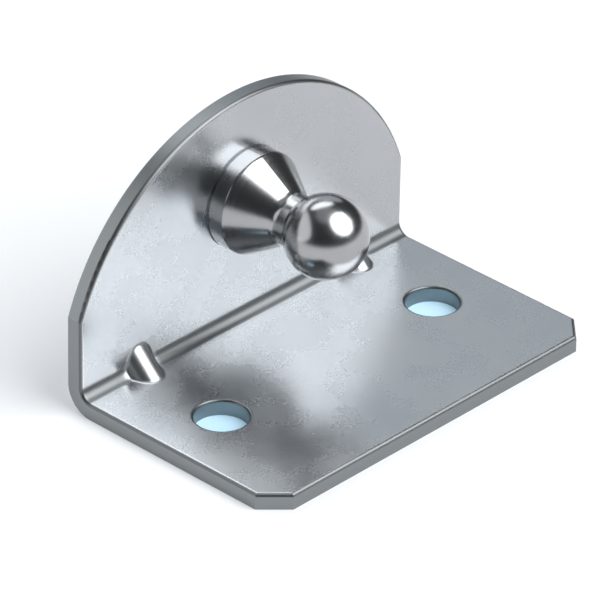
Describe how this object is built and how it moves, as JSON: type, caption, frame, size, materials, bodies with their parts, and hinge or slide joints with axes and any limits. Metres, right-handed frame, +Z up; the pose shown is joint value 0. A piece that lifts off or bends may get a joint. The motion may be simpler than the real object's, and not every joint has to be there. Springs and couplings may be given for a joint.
{
  "type": "ball stud angle bracket",
  "caption": "Folded stainless angle bracket with a D-shaped upright, screw holes in its foot and a riveted ball stud for a gas spring socket.",
  "frame": {"origin": "midway between the two fixing holes, on the underside of the foot", "axes": "+X along the bend, +Y from the foot's front edge towards the upright's back face, +Z up out of the foot; the ball stud points along -Y"},
  "size_m": [0.053, 0.0337, 0.0308],
  "materials": {
    "stainless_sheet": "satin, tumbled after pressing",
    "stainless_ball": "turned and polished"
  },
  "bodies": {
    "root": {"bracket": "stainless_sheet", "ball_stud": "stainless_ball"}
  },
  "joints": []
}
